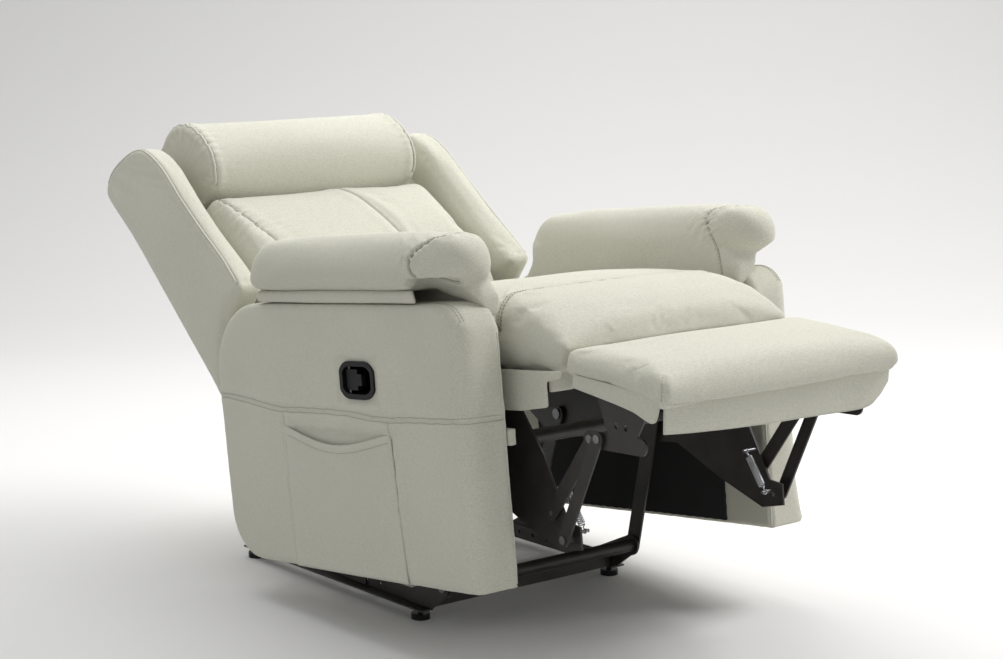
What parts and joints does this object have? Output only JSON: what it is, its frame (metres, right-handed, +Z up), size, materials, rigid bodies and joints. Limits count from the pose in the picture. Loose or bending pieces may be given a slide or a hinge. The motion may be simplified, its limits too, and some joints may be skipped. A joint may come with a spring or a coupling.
{
  "type": "recliner armchair",
  "caption": "Upholstered recliner armchair on a swinging floor base, fully open: raised footrest, reclined winged back, padded arms, side release latch and side pocket.",
  "frame": {"origin": "on the floor, at the middle of the open chair's length and width", "axes": "+X to the sitter's left, +Y from the footrest towards the back, +Z up"},
  "size_m": [0.796, 1.5572, 0.8538],
  "materials": {
    "upholstery": "woven, matt",
    "black_lining": "matt non-woven cloth",
    "black_steel": "satin black powder coat",
    "rivet_steel": "dull zinc plated",
    "spring_steel": "bright drawn wire",
    "timber": "sawn softwood and ply",
    "webbing": "woven elastic webbing",
    "latch_plastic": "fine-textured black",
    "black_plastic": "moulded black"
  },
  "bodies": {
    "base": {"glide_feet": "black_plastic", "base_side_rail_left": "black_steel", "base_side_rail_right": "black_steel", "base_cross_rails": "black_steel", "base_brackets_left": "black_steel", "base_brackets_right": "black_steel", "base_cross_tube": "black_steel", "base_rivets": "rivet_steel"},
    "rear_swing": {"rear_link_left": "black_steel", "rear_link_right": "black_steel", "rear_torque_tube": "black_steel"},
    "front_swing": {"front_link_left": "black_steel", "front_link_right": "black_steel", "front_link_pins": "rivet_steel"},
    "body": {"seat_plate_left": "black_steel", "seat_plate_right": "black_steel", "seat_plate_rivets": "rivet_steel", "mechanism_springs": "spring_steel", "seat_cross_tube": "black_steel", "seat_cross_rails": "timber", "seat_side_rails": "timber", "seat_webbing": "webbing", "seat_cushion": "upholstery", "seat_apron": "upholstery", "arm_cover_left": "upholstery", "arm_cover_right": "upholstery", "arm_frame_left": "timber", "arm_frame_right": "timber", "arm_linings": "black_lining", "arm_boards": "upholstery", "arm_pad_left": "upholstery", "arm_pad_right": "upholstery", "arm_inner_pad_left": "upholstery", "arm_inner_pad_right": "upholstery", "side_pocket": "upholstery", "latch_bezel": "latch_plastic", "latch_pin": "rivet_steel"},
    "latch": {"latch_lever": "latch_plastic"},
    "footrest_long_links": {"footrest_long_link_left": "black_steel", "footrest_long_link_right": "black_steel"},
    "footrest_short_links": {"footrest_short_link_left": "black_steel", "footrest_short_link_right": "black_steel", "footrest_link_pins": "rivet_steel"},
    "footrest": {"footrest_bracket_left": "black_steel", "footrest_bracket_right": "black_steel", "footrest_rivets": "rivet_steel", "footrest_board": "timber", "footrest_pad": "upholstery", "footrest_skirt": "upholstery"},
    "back": {"back_bracket_left": "black_steel", "back_bracket_right": "black_steel", "back_uprights": "timber", "back_rails": "timber", "back_webbing": "webbing", "wing_cleats": "timber", "wing_left": "upholstery", "wing_right": "upholstery", "back_cushion": "upholstery", "headrest": "upholstery", "back_panel": "upholstery"}
  },
  "joints": [
    {"name": "open_close", "type": "hinge", "parent": "base", "child": "rear_swing", "pos_m": [0, 0.12863, 0.06], "axis": [1, 0, 0], "range_deg": [-66.48, 0]},
    {"name": "body_swing", "type": "hinge", "parent": "rear_swing", "child": "body", "pos_m": [0, 0.04993, 0.29261], "axis": [1, 0, 0], "range_deg": [0, 73.48]},
    {"name": "front_swing_turn", "type": "hinge", "parent": "base", "child": "front_swing", "pos_m": [0, -0.1725, 0.073], "axis": [1, 0, 0], "range_deg": [-64.57, 0]},
    {"name": "long_link_turn", "type": "hinge", "parent": "body", "child": "footrest_long_links", "pos_m": [0, -0.48582, 0.27314], "axis": [1, 0, 0], "range_deg": [-56.4, 0]},
    {"name": "footrest_fold", "type": "hinge", "parent": "footrest_long_links", "child": "footrest", "pos_m": [0, -0.58527, 0.41531], "axis": [1, 0, 0], "range_deg": [0, 137.9]},
    {"name": "short_link_turn", "type": "hinge", "parent": "body", "child": "footrest_short_links", "pos_m": [0, -0.5296, 0.23786], "axis": [1, 0, 0], "range_deg": [-53.54, 0]},
    {"name": "recline", "type": "hinge", "parent": "body", "child": "back", "pos_m": [0, 0.22475, 0.4136], "axis": [1, 0, 0], "range_deg": [0, 30]},
    {"name": "latch_pull", "type": "hinge", "parent": "body", "child": "latch", "pos_m": [-0.384, -0.11426, 0.45927], "axis": [0, -0.1132, -0.9936], "range_deg": [0, 20], "stiffness_Nm_per_rad": 0.6}
  ],
  "couplings": [
    {"joint": "body_swing", "follows": "open_close", "ratio": -1.0978},
    {"joint": "front_swing_turn", "follows": "open_close", "ratio": 0.96378},
    {"joint": "long_link_turn", "follows": "open_close", "ratio": 0.84089},
    {"joint": "footrest_fold", "follows": "open_close", "ratio": -2.0669},
    {"joint": "short_link_turn", "follows": "open_close", "ratio": 0.79788}
  ]
}
